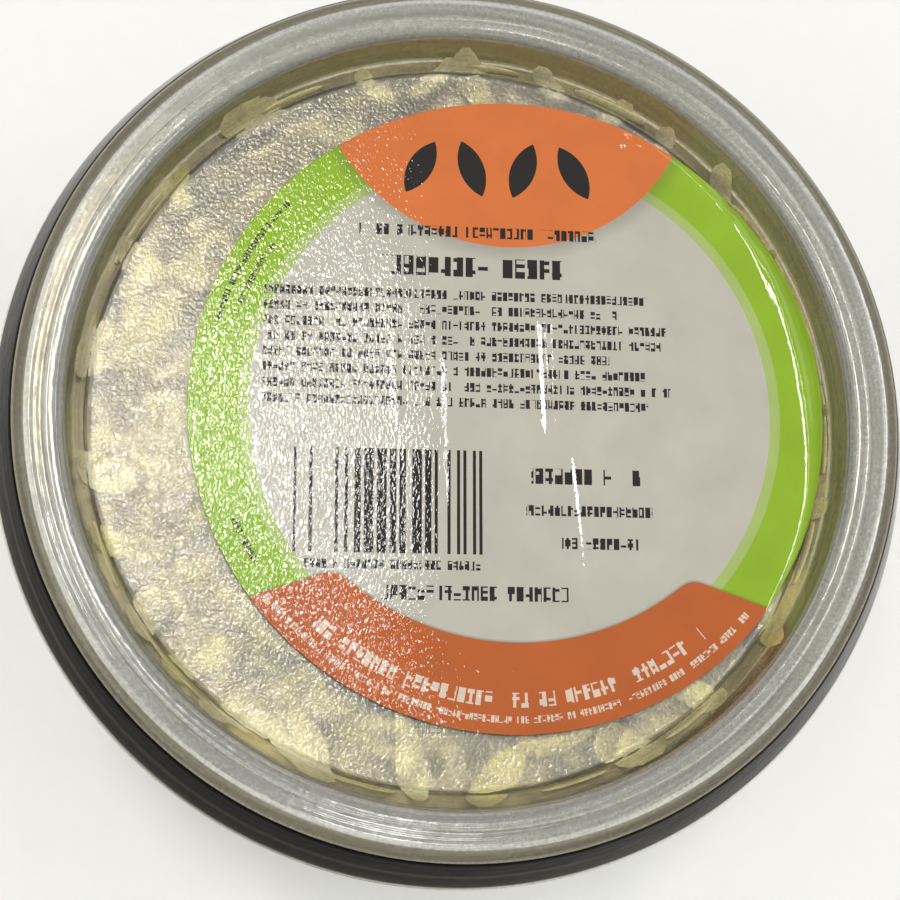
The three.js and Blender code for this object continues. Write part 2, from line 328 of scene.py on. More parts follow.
def give_zones(piece, materials, zone_of):
    """Gives each face the material of its zone, from the radius and height of its middle."""
    for material in materials:
        piece.data.materials.append(material)
    for face in piece.data.polygons:
        middle = face.center
        face.material_index = zone_of(math.hypot(middle.x, middle.y), middle.z)


def place(piece, node):
    """Rides the piece on the one body, in place of its solid."""
    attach(piece, "root")
    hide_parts(node)


# Materials


def add(tree, kind, *values, out=0, sockets=None, stops=None, **settings):
    """Adds a node with its settings and links, and returns one of its outputs."""
    node = tree.nodes.new("ShaderNode" + kind)
    for name, value in settings.items():
        setattr(node, name, value)
    if stops:
        elements = node.color_ramp.elements
        while len(elements) < len(stops):
            elements.new(0.5)
        for element, (position, hex_colour) in zip(elements, stops):
            element.position = position
            element.color = linear(hex_colour)
    for key, value in [*enumerate(values), *(sockets or {}).items()]:
        if isinstance(value, bpy.types.NodeSocket):
            tree.links.new(value, node.inputs[key])
        elif value is not None:
            node.inputs[key].default_value = value
    return node.outputs[out]


def new_material(name):
    material = bpy.data.materials.new(name)
    material.use_nodes = True
    material.node_tree.nodes.clear()
    return material, material.node_tree


# Tints round the crown, from the well's shoulder out to the skirt: radius in millimetres and colour
# Near-white rings at 53.3 mm and 55.3 to 55.7 mm are painted highlights; 55.85 to 57.0 mm is painted shade.
CROWN_RINGS = [
    (49.5, "#BEBDB5"), (51.6, "#C9C9C4"), (53.15, "#CFCFCA"), (53.3, "#F4F3EE"), (53.5, "#BFBFBA"),
    (55.1, "#D2D2CD"), (55.3, "#FFFFFC"), (55.7, "#FFFFFC"), (55.85, "#B8B5A4"), (56.4, "#A6A190"),
    (57.0, "#B0AA94"), (57.15, "#DAD4BE"), (57.4, "#DAD4BE"),
]
# Round the skirt: dark tints that are painted shade, down to a near-white edge ring that is a painted
# highlight
SKIRT_RINGS = [
    (57.2, "#1D1A12"), (58.8, "#2A261B"), (58.95, "#5C5747"), (59.15, "#262218"), (60.15, "#2E2A1E"),
    (60.3, "#F4F1E8"), (60.6, "#F4F1E8"),
]
# Up the well, from the panel's grey fillet to the crown
WELL_RINGS = [
    (48.2, "#D3D4CE"), (48.9, "#C9C9C0"), (49.2, "#D8D5C6"), (49.35, "#DDD8C4"), (51.0, "#DFDAC6"),
]


def ringed_tint(tree, here, rings):
    """Colours in rings round the middle, with fine streaks that run along them, as in turned moulds. Some
    rings in the tables are painted highlights and painted shade.
    """
    level = add(tree, "VectorMath", here, (1, 1, 0), operation="MULTIPLY")
    radius = add(tree, "VectorMath", level, out="Value", operation="LENGTH")
    first, last = rings[0][0], rings[-1][0]
    place_of = add(tree, "MapRange", radius, first * MM, last * MM, 0.0, 1.0)
    tone = add(tree, "ValToRGB", place_of, stops=[((r - first) / (last - first), c) for r, c in rings])
    # Streaks 0.35 mm wide that fade in and out every 15 mm or so
    across = add(tree, "Math", radius, 1 / (0.35 * MM), operation="MULTIPLY")
    slow = add(tree, "VectorMath", here, (1 / (15 * MM),) * 3, operation="MULTIPLY")
    drift = add(tree, "CombineXYZ", across)
    spot = add(tree, "VectorMath", slow, drift, operation="ADD")
    streak = add(tree, "TexNoise", sockets={"Vector": spot, "Scale": 1.0, "Detail": 2.0})
    speck = add(tree, "TexNoise", sockets={"Vector": here, "Scale": 1 / (0.45 * MM), "Detail": 1.0})
    mixed = add(tree, "Math", streak, speck, operation="ADD")
    share = add(tree, "MapRange", mixed, 0.7, 1.3, 0.74, 1.22)
    return add(tree, "VectorMath", tone, sockets={"Scale": share}, operation="SCALE")


def moulded_plastic(name, tint, haze, roughness, waviness, bends=1.49, rings=None):
    """Injection-moulded clear polypropylene: glossy, a little milky, with a faintly wavy skin."""
    material, tree = new_material(name)
    here = add(tree, "TexCoord", out="Object")
    if rings:
        tint = ringed_tint(tree, here, rings)
    # Flow marks some 5 mm apart, and a fine orange peel of 0.7 mm
    waves = add(tree, "TexNoise", sockets={"Vector": here, "Scale": 1 / (5 * MM), "Detail": 2.0})
    peel = add(tree, "TexNoise", sockets={"Vector": here, "Scale": 1 / (0.7 * MM), "Detail": 1.0})
    wavy = add(tree, "Bump", sockets={"Strength": waviness, "Distance": 0.3 * MM, "Height": waves})
    peeled = add(tree, "Bump", sockets={
        "Strength": waviness * 0.5, "Distance": 0.05 * MM, "Height": peel, "Normal": wavy})
    # Turning marks of the mould run round the middle, about 0.4 mm apart.
    level = add(tree, "VectorMath", here, (1, 1, 0), operation="MULTIPLY")
    radius = add(tree, "VectorMath", level, out="Value", operation="LENGTH")
    marks = add(tree, "TexNoise", noise_dimensions="1D", sockets={
        "W": radius, "Scale": 1 / (0.4 * MM), "Detail": 1.0})
    skin = add(tree, "Bump", sockets={
        "Strength": waviness, "Distance": 0.04 * MM, "Height": marks, "Normal": peeled})
    clear = add(tree, "BsdfPrincipled", sockets={
        "Base Color": tint, "Roughness": roughness, "IOR": bends, "Transmission Weight": 1.0 - haze,
        "Normal": skin})
    # Light for what stands behind comes straight through.
    straight = add(tree, "BsdfTransparent")
    shadow = add(tree, "LightPath", out="Is Shadow Ray")
    shader = add(tree, "MixShader", shadow, clear, straight)
    add_output(tree, shader)
    return material


def frosted_panel(name, colours):
    """The lid's panel, moulded against an etched steel face: a fine wavy grain that scatters light."""
    material, tree = new_material(name)
    here = add(tree, "TexCoord", out="Object")
    # The etched grain is about 0.5 mm from crest to crest.
    bent = add(tree, "TexNoise", out="Color", sockets={
        "Vector": here, "Scale": 1 / (1.6 * MM), "Detail": 1.0})
    swirl = add(tree, "VectorMath", bent, (0.6 * MM,) * 3, here, operation="MULTIPLY_ADD")
    grain = add(tree, "TexNoise", sockets={"Vector": swirl, "Scale": 1 / (0.5 * MM), "Detail": 2.0})
    bump = add(tree, "Bump", sockets={"Strength": 1.0, "Distance": 0.1 * MM, "Height": grain})
    # Where dressing wets the frost from below it turns clear and creamy; elsewhere it stays grey.
    patch = add(
        tree, "TexNoise", sockets={"Vector": here, "Scale": 1 / (6 * MM), "Detail": 3.0, "Distortion": 1.2})
    # Painted light: the lighter wet tint is pushed towards -Y, so that side of the panel looks more
    # brightly lit.
    painted_light_toward = add(tree, "VectorMath", here, (-0.2, -1.9, 0), out="Value", operation="DOT_PRODUCT")
    patch = add(tree, "Math", patch, painted_light_toward, operation="ADD")
    wet = add(tree, "MapRange", patch, 0.36, 0.6, 0.0, 1.0, interpolation_type="SMOOTHSTEP")
    tint = add(
        tree, "Mix", sockets={0: wet, 6: tuple(colours.panel_dry), 7: tuple(colours.panel_wet)}, out=2,
        data_type="RGBA")
    # Painted glints: each facet of the grain is tinted lighter or darker, as if it turned towards the light
    # or away.
    share = add(tree, "MapRange", grain, 0.36, 0.64, 0.74, 1.18)
    tint_with_painted_glints = add(tree, "VectorMath", tint, sockets={"Scale": share}, operation="SCALE")
    scatter = add(tree, "MapRange", wet, 0.0, 1.0, 0.46, 0.36)
    frost = add(tree, "BsdfPrincipled", sockets={
        "Base Color": tint_with_painted_glints, "Roughness": scatter, "IOR": 1.49, "Transmission Weight": 0.93, "Normal": bump,
        "Coat Weight": 1.0, "Coat Roughness": 0.06, "Coat Normal": bump})
    straight = add(tree, "BsdfTransparent", tuple(colours.panel_wet))
    shadow = add(tree, "LightPath", out="Is Shadow Ray")
    shader = add(tree, "MixShader", shadow, frost, straight)
    add_output(tree, shader)
    return material


def add_output(tree, shader):
    output = tree.nodes.new("ShaderNodeOutputMaterial")
    tree.links.new(shader, output.inputs["Surface"])


def paper_floor(name):
    """A sheet of pale card for the studio floor."""
    material, tree = new_material(name)
    here = add(tree, "TexCoord", out="Object")
    fibre = add(tree, "TexNoise", sockets={"Vector": here, "Scale": 1 / (3 * MM), "Detail": 3.0})
    tone = add(tree, "ValToRGB", fibre, stops=[(0.3, "#FAFAF8"), (0.7, "#FCFCFB")])
    add_output(tree, add(tree, "BsdfPrincipled", sockets={"Base Color": tone, "Roughness": 0.9}))
    return material


# Sticker: millimetres from its middle, read from the piece's own UV map

STICKER_SPAN = 100.0
LENS_CENTRE = (-0.7, 48.5, 0)
LENS_RADIUS = 26.2
LENS_SHADE_WIDTH = 2.6
RING_RADIUS = 36.3
PALE_RING_RADIUS = 34.9
BANNER_CENTRE = (0.3, 3.9, 0)
BANNER_RADIUS = 34.9
BANNER_LEFT = ((-23.5, -21.9, 0), (-0.322, 0.946, 0))
BANNER_RIGHT = ((24.6, -22.7, 0), (0.339, 0.941, 0))
# A plain sprig in the lens: each leaf is where two circles cross, given by its place along X and its lean
SPRIG_LEAVES = [(-12.5, -0.5), (-5.5, 0.35), (1.5, -0.35), (8.5, 0.5)]
SPRIG_HEIGHT = 33.2
LEAF_RADIUS = 5.9
LEAF_OFFSET = 4.2
# Plain bars where print stands: left, right, middle height, thickness
PRINT_BARS = [
    (-20.7, 11.4, 24.2, 1.5),
    (-17.7, 9.0, 19.3, 2.7),
    (2.3, 18.4, -9.0, 2.1),
    (1.6, 18.5, -13.6, 1.4),
    (6.3, 16.8, -17.9, 1.5),
    (-17.4, 7.8, -24.7, 1.9),
    (-27.5, -4.5, -21.1, 1.2),
]
SMALL_ROWS = {
    "left": -33.2, "right": 22.0, "uneven": 9.0, "top": 16.4, "pitch": 2.1, "count": 8, "tall": 1.2,
}
STRIPES = {"left": -28.9, "right": -3.6, "bottom": -19.6, "top": -5.8, "pitch": 0.42, "bare": 0.48}
# Curved bars: radius, thickness, first and last angle in degrees, light or dark
CURVED_BARS = [
    (38.4, 1.9, -132, -50, True),
    (40.9, 0.9, -142, -41, True),
    (40.7, 0.8, 137, 165, False),
    (38.6, 0.8, 146, 162, False),
    (39.6, 0.9, 203, 212, False),
]


def in_box(tree, here, left, right, bottom, top):
    """1 inside a rectangle of the sticker."""
    middle = ((left + right) / 2, (bottom + top) / 2, 0)
    half = ((right - left) / 2, (top - bottom) / 2, 1)
    offset = add(tree, "VectorMath", here, middle, operation="SUBTRACT")
    away = add(tree, "VectorMath", offset, operation="ABSOLUTE")
    over = add(tree, "VectorMath", away, half, operation="SUBTRACT")
    over_x = add(tree, "SeparateXYZ", over, out="X")
    over_y = add(tree, "SeparateXYZ", over, out="Y")
    worst = add(tree, "Math", over_x, over_y, operation="MAXIMUM")
    return add(tree, "Math", worst, 0.0, operation="LESS_THAN")


def drawn_lots(tree, along, up, row, chance_of):
    """1 in the cells of a grid that a random draw picks, 0 in the others."""
    place_of = add(tree, "CombineXYZ", along, up, row)
    cell = add(tree, "VectorMath", place_of, operation="FLOOR")
    lot = add(tree, "TexWhiteNoise", cell, out="Value")
    return add(tree, "Math", lot, 1 - chance_of, operation="GREATER_THAN")


def in_words(tree, along, up, row, tall):
    """1 on strokes that stand for print along a line: short uprights and dashes, in word-long runs."""
    step = add(tree, "Math", along, tall * 0.62, operation="DIVIDE")
    word = drawn_lots(tree, step, 0.0, row, 0.86)
    inside = add(tree, "Math", add(tree, "Math", step, operation="FRACT"), 0.2, operation="GREATER_THAN")
    upright_step = add(tree, "Math", along, tall * 0.2, operation="DIVIDE")
    uprights = drawn_lots(tree, upright_step, 7.0, row, 0.42)
    dash_step = add(tree, "Math", up, tall * 0.2, operation="DIVIDE")
    dashes = drawn_lots(tree, step, dash_step, row, 0.4)
    return both(tree, word, inside, either(tree, uprights, dashes))


def both(tree, *masks):
    result = masks[0]
    for mask in masks[1:]:
        result = add(tree, "Math", result, mask, operation="MULTIPLY")
    return result


def either(tree, *masks):
    result = masks[0]
    for mask in masks[1:]:
        result = add(tree, "Math", result, mask, operation="MAXIMUM")
    return result


def printed_sticker(name, colours):
    """Offset-printed paper under a glossy film: flat inks, with the panel's grain pressed through."""
    material, tree = new_material(name)
    uv = add(tree, "UVMap", out="UV", uv_map="sticker")
    here = add(
        tree, "VectorMath", uv, (STICKER_SPAN, STICKER_SPAN, 0), (-STICKER_SPAN / 2, -STICKER_SPAN / 2, 0),
        operation="MULTIPLY_ADD")
    x = add(tree, "SeparateXYZ", here, out="X")
    y = add(tree, "SeparateXYZ", here, out="Y")
    reach = add(tree, "VectorMath", here, out="Value", operation="LENGTH")
    turn = add(tree, "Math", y, x, operation="ARCTAN2")

    lens_reach = add(tree, "VectorMath", here, LENS_CENTRE, out="Value", operation="DISTANCE")
    lens = add(tree, "Math", lens_reach, LENS_RADIUS, operation="LESS_THAN")
    banner_reach = add(tree, "VectorMath", here, BANNER_CENTRE, out="Value", operation="DISTANCE")
    edge = add(tree, "Math", BANNER_RADIUS, banner_reach, operation="SUBTRACT")
    for point, normal in (BANNER_LEFT, BANNER_RIGHT):
        offset = add(tree, "VectorMath", here, point, operation="SUBTRACT")
        height = add(tree, "VectorMath", offset, normal, out="Value", operation="DOT_PRODUCT")
        edge = add(tree, "Math", edge, height, 2.5, operation="SMOOTH_MAX")
    banner = add(tree, "Math", edge, 0.0, operation="LESS_THAN")
    ring = add(tree, "Math", reach, RING_RADIUS, operation="GREATER_THAN")
    pale = add(tree, "Math", reach, PALE_RING_RADIUS, operation="GREATER_THAN")

    # Soft shade printed under the lens and along the banner's upper edge
    lens_shade = add(
        tree, "MapRange", lens_reach, LENS_RADIUS, LENS_RADIUS + LENS_SHADE_WIDTH, 0.3, 0.0,
        interpolation_type="SMOOTHSTEP")
    banner_shade = add(tree, "MapRange", edge, 0.0, 0.35, 0.5, 0.0)
    shade = either(tree, lens_shade, banner_shade)

    # Small rows of print, each as long as a random draw says
    rows = SMALL_ROWS
    depth = add(tree, "Math", rows["top"], y, operation="SUBTRACT")
    row = add(tree, "Math", depth, rows["pitch"], operation="DIVIDE")
    row_number = add(tree, "Math", row, operation="FLOOR")
    row_share = add(tree, "Math", row, operation="FRACT")
    in_row = add(tree, "Math", row_share, 0.5, 0.29, operation="COMPARE")
    row_chance = add(tree, "TexWhiteNoise", sockets={"W": row_number}, out="Value", noise_dimensions="1D")
    row_end = add(tree, "MapRange", row_chance, 0.0, 1.0, rows["right"] - rows["uneven"], rows["right"])
    before_end = add(tree, "Math", x, row_end, operation="LESS_THAN")
    block = in_box(
        tree, here, rows["left"], rows["right"], rows["top"] - rows["count"] * rows["pitch"], rows["top"])
    small = both(tree, block, in_row, before_end, in_words(tree, x, y, row_number, rows["tall"]))

    # Upright stripes of one width, each drawn at random
    stripe_step = add(tree, "Math", x, STRIPES["pitch"], operation="DIVIDE")
    stripe_cell = add(tree, "Math", stripe_step, operation="FLOOR")
    stripe_chance = add(
        tree, "TexWhiteNoise", sockets={"W": stripe_cell}, out="Value", noise_dimensions="1D")
    stripe = add(tree, "Math", stripe_chance, STRIPES["bare"], operation="GREATER_THAN")
    stripes = both(
        tree, stripe,
        in_box(tree, here, STRIPES["left"], STRIPES["right"], STRIPES["bottom"], STRIPES["top"]))

    dark = [small, stripes]
    for number, (left, right, middle, thick) in enumerate(PRINT_BARS):
        bar = in_box(tree, here, left, right, middle - thick / 2, middle + thick / 2)
        dark.append(both(tree, bar, in_words(tree, x, y, 60.5 + number, thick)))
    light = []
    for number, (radius, thick, first, last, is_light) in enumerate(CURVED_BARS):
        middle, half = math.radians((first + last) / 2), math.radians((last - first) / 2)
        from_middle = add(tree, "Math", turn, middle, operation="SUBTRACT")
        wrapped = add(tree, "Math", from_middle, math.pi, -math.pi, operation="WRAP")
        on_arc = add(tree, "Math", wrapped, 0.0, half, operation="COMPARE")
        on_radius = add(tree, "Math", reach, radius, thick / 2, operation="COMPARE")
        run = add(tree, "Math", wrapped, radius, operation="MULTIPLY")
        bar = both(tree, on_arc, on_radius, in_words(tree, run, reach, 80.5 + number, thick))
        (light if is_light else dark).append(bar)

    for leaf_x, lean in SPRIG_LEAVES:
        base = Vector((leaf_x, SPRIG_HEIGHT, 0))
        across = Vector((math.cos(lean), math.sin(lean), 0)) * LEAF_OFFSET
        circles = []
        for side in (-1, 1):
            centre = tuple(base + across * side)
            away = add(tree, "VectorMath", here, centre, out="Value", operation="DISTANCE")
            circles.append(add(tree, "Math", away, LEAF_RADIUS, operation="LESS_THAN"))
        dark.append(both(tree, *circles))

    def over(mask, below, above):
        return add(tree, "Mix", sockets={0: mask, 6: below, 7: above}, out=2, data_type="RGBA")

    ink = over(pale, tuple(colours.disc), tuple(colours.pale_green))
    ink = over(ring, ink, tuple(colours.green))
    ink = over(shade, ink, tuple(colours.shade))
    orange = over(banner, tuple(colours.orange), tuple(colours.banner))
    ink = over(either(tree, lens, banner), ink, orange)
    ink = over(either(tree, *dark), ink, tuple(colours.ink))
    ink = over(either(tree, *light), ink, tuple(colours.light_print))
    # Faint blotches of uneven ink, 8 mm across
    blotch = add(tree, "TexNoise", sockets={"Vector": here, "Scale": 1 / 8.0, "Detail": 3.0})
    tone = add(tree, "MapRange", blotch, 0.3, 0.7, 0.93, 1.05)
    ink = add(tree, "VectorMath", ink, sockets={"Scale": tone}, operation="SCALE")

    # The panel's grain presses through, most where the sticker is stuck down firmly at its left.
    firm = add(tree, "MapRange", x, -24.0, -6.0, 1.0, 0.15, interpolation_type="SMOOTHSTEP")
    drawn_out = add(tree, "VectorMath", here, (1.0, 0.55, 1.0), operation="MULTIPLY")
    grain = add(tree, "TexNoise", sockets={
        "Vector": drawn_out, "Scale": 1 / 0.42, "Detail": 1.0, "Distortion": 0.5})
    pressed = add(tree, "Bump", sockets={"Strength": firm, "Distance": 0.1 * MM, "Height": grain})
    add_output(tree, add(tree, "BsdfPrincipled", sockets={
        "Base Color": ink, "Roughness": 0.6, "Specular IOR Level": 0.0, "Normal": pressed,
        "Coat Weight": 1.0, "Coat Roughness": 0.04, "Coat Normal": pressed}))
    return material


def wet_food(name, stops, fibre, gloss):
    """A cut vegetable wet with dressing: tinted strip by strip, with fine fibres along it."""
    material, tree = new_material(name)
    tint = add(tree, "Attribute", out="Fac", attribute_name="tint")
    grain = add(tree, "Attribute", out="Vector", attribute_name="grain")
    # Fibres run along the strip: long in the first direction and 0.35 mm wide across it.
    stretched = add(tree, "VectorMath", grain, (0.12, 1 / 0.35, 1.0), operation="MULTIPLY")
    veins = add(tree, "TexNoise", sockets={"Vector": stretched, "Scale": 1.0, "Detail": 2.0})
    here = add(tree, "TexCoord", out="Object")
    # Dressing clings in smears some 4 mm long.
    smear = add(tree, "TexNoise", sockets={"Vector": here, "Scale": 1 / (4 * MM), "Detail": 3.0})
    shift = add(tree, "MapRange", veins, 0.3, 0.7, -fibre, fibre)
    tone = add(tree, "Math", tint, shift, operation="ADD")
    flesh = add(tree, "ValToRGB", tone, stops=stops)
    creamy = add(tree, "MapRange", smear, 0.5, 0.68, 0.0, 0.75, interpolation_type="SMOOTHSTEP")
    cream = tuple(bpy.context.scene.coleslaw_colours.cream)
    skin = add(tree, "Mix", sockets={0: creamy, 6: flesh, 7: cream}, out=2, data_type="RGBA")
    bump = add(tree, "Bump", sockets={"Strength": 0.5, "Distance": 0.12 * MM, "Height": veins})
    add_output(tree, add(tree, "BsdfPrincipled", sockets={
        "Base Color": skin, "Roughness": gloss, "Normal": bump,
        "Coat Weight": 0.5, "Coat Roughness": 0.15}))
    return material


def dressing(name):
    """Mayonnaise dressing among the shreds: pale cream with darker grey blotches at random, partly thin
    dressing and partly painted shade of the hollows between shreds.
    """
    material, tree = new_material(name)
    here = add(tree, "TexCoord", out="Object")
    blotch = add(tree, "TexNoise", sockets={"Vector": here, "Scale": 1 / (7 * MM), "Detail": 4.0})
    # The dark grey stops are partly painted shade of the gaps between shreds.
    tone = add(tree, "ValToRGB", blotch, stops=[
        (0.36, "#5E544E"), (0.46, "#8F8478"), (0.58, "#C9BFA5"), (0.74, "#C6BB74")])
    # The brine in the gap round the panel is yellower, and darker as painted shade of the gap under the
    # crown.
    level = add(tree, "VectorMath", here, (1, 1, 0), operation="MULTIPLY")
    radius = add(tree, "VectorMath", level, out="Value", operation="LENGTH")
    height = add(tree, "SeparateXYZ", here, out="Z")
    high = add(tree, "MapRange", height, BRINE_SHADE_HEIGHT, BRINE_SHADE_HEIGHT + 0.5 * MM, 0.0, 1.0)
    outer = add(tree, "MapRange", radius, BRINE_SHADE_RADIUS, BRINE_SHADE_RADIUS + 0.5 * MM, 0.0, 1.0)
    at_rim = add(tree, "Math", high, outer, operation="MULTIPLY")
    along = add(tree, "TexNoise", sockets={"Vector": here, "Scale": 1 / (13 * MM), "Detail": 2.0})
    brine = add(tree, "ValToRGB", along, stops=[(0.4, "#6C654A"), (0.5, "#8A8262"), (0.62, "#AFA36C")])
    tone = add(tree, "Mix", sockets={0: at_rim, 6: tone, 7: brine}, out=2, data_type="RGBA")
    froth = add(tree, "TexNoise", sockets={"Vector": here, "Scale": 1 / (1.1 * MM), "Detail": 3.0})
    bump = add(tree, "Bump", sockets={"Strength": 0.6, "Distance": 0.3 * MM, "Height": froth})
    add_output(tree, add(tree, "BsdfPrincipled", sockets={
        "Base Color": tone, "Roughness": 0.35, "Normal": bump, "Coat Weight": 0.4, "Coat Roughness": 0.2}))
    return material


# Salad: shreds are laid out flat, then wrapped under the panel, round the wall or over the base


def shred_blank(name, sides, cuts):
    """One straight shred of unit length, width and thickness, its long axis along X."""
    deselect_all()
    bpy.ops.mesh.primitive_cylinder_add(vertices=sides, radius=0.5, depth=1, rotation=(0, math.pi / 2, 0))
    blank = bpy.context.object
    blank.name = name
    bpy.ops.object.transform_apply(location=True, rotation=True, scale=True)
    bpy.context.tool_settings.mesh_select_mode = (False, True, False)
    bpy.ops.object.mode_set(mode="EDIT")
    bpy.ops.mesh.select_all(action="DESELECT")
    bpy.ops.object.mode_set(mode="OBJECT")
    mesh = blank.data
    for edge in mesh.edges:
        a, b = (mesh.vertices[i].co for i in edge.vertices)
        edge.select = abs(a.x - b.x) > 0.5
    bpy.ops.object.mode_set(mode="EDIT")
    bpy.ops.mesh.subdivide(number_cuts=cuts)
    bpy.ops.object.mode_set(mode="OBJECT")
    for vertex in mesh.vertices:
        # The cut ends draw in a little, and the broad faces are flattened.
        end = 0.75 if abs(vertex.co.x) > 0.49 else 1.0
        vertex.co.y *= end
        vertex.co.z = max(-0.36, min(0.36, vertex.co.z)) * end
    return blank


def bent_copies(name, blank, strips, lay):
    """All strips of one kind as one mesh: each a copy of the blank, bent and laid in its place."""
    shape = points_of(blank.data)
    faces = [tuple(face.vertices) for face in blank.data.polygons]
    stations = np.linspace(-0.5, 0.5, 25)
    points, tints, grains = [], [], []
    for number, s in enumerate(strips):
        heading = s["heading"] + s["bend"] * stations + s["curl"] * (6 * stations**2 - 0.5)
        step = s["length"] / (len(stations) - 1)
        run_u = np.concatenate([[0], np.cumsum(np.cos(heading[:-1] + np.diff(heading) / 2) * step)])
        run_v = np.concatenate([[0], np.cumsum(np.sin(heading[:-1] + np.diff(heading) / 2) * step)])
        run_u -= run_u.mean()
        run_v -= run_v.mean()
        along, across, thick = shape.T
        facing = np.interp(along, stations, heading)
        swell = 1 + s["uneven"] * np.sin(9 * along + number)
        # Each strip narrows towards its two ends.
        side = across * s["width"] * swell * (1 - s["taper"] * (2 * along) ** 4)
        u = s["u"] + np.interp(along, stations, run_u) - np.sin(facing) * side
        v = s["v"] + np.interp(along, stations, run_v) + np.cos(facing) * side
        depth = s["depth"] + (0.5 - thick) * s["thickness"]
        depth = depth + s["ripple"] * (1 - np.cos(7 * along + 2.3 * number))
        points.append(lay(u, v, depth))
        tints.append(np.full(len(shape), s["tint"]))
        grains.append(np.c_[along * s["length"] / MM, side / MM, np.full(len(shape), 3.7 * number)])
    mesh = bpy.data.meshes.new(name)
    count = len(shape)
    all_faces = [tuple(i + count * k for i in face) for k in range(len(strips)) for face in faces]
    mesh.from_pydata(np.concatenate(points).tolist(), [], all_faces)
    tint = mesh.attributes.new("tint", "FLOAT", "POINT")
    tint.data.foreach_set("value", np.concatenate(tints).astype(np.float32))
    grain = mesh.attributes.new("grain", "FLOAT_VECTOR", "POINT")
    grain.data.foreach_set("vector", np.concatenate(grains).astype(np.float32).ravel())
    piece = bpy.data.objects.new(name, mesh)
    bpy.context.scene.collection.objects.link(piece)
    deselect_all()
    piece.select_set(True)
    bpy.context.view_layer.objects.active = piece
    bpy.ops.object.mode_set(mode="EDIT")
    bpy.ops.mesh.select_all(action="SELECT")
    bpy.ops.mesh.normals_make_consistent(inside=False)
    bpy.ops.object.mode_set(mode="OBJECT")
    bpy.ops.object.shade_smooth_by_angle(angle=math.radians(60))
    return piece


def strip_like(draw, kind, **where):
    """Random sizes of one strip of a kind, at a given place."""
    low_length, high_length, low_width, high_width, low_thick, high_thick = kind
    return {
        "length": draw.uniform(low_length, high_length) * MM,
        "width": draw.triangular(low_width, high_width, low_width * 1.3) * MM,
        "thickness": draw.uniform(low_thick, high_thick) * MM,
        "bend": draw.uniform(-1.5, 1.5),
        "curl": draw.uniform(-0.5, 0.5),
        "uneven": draw.uniform(0.02, 0.16),
        "taper": draw.uniform(0.1, 0.5),
        "ripple": draw.uniform(0, 0.16) * MM,
        "tint": draw.random(),
        **where,
    }


# Length, width and thickness of each kind, each from least to most, in millimetres
CABBAGE = (12, 30, 1.8, 4.4, 0.7, 1.3)
CARROT = (8, 22, 1.1, 1.9, 0.8, 1.3)
ONION = (6, 14, 1.6, 3.0, 0.4, 0.7)
SPECK = (0.5, 1.1, 0.3, 0.7, 0.2, 0.4)
GOLDEN = (math.sqrt(5) - 1) / 2


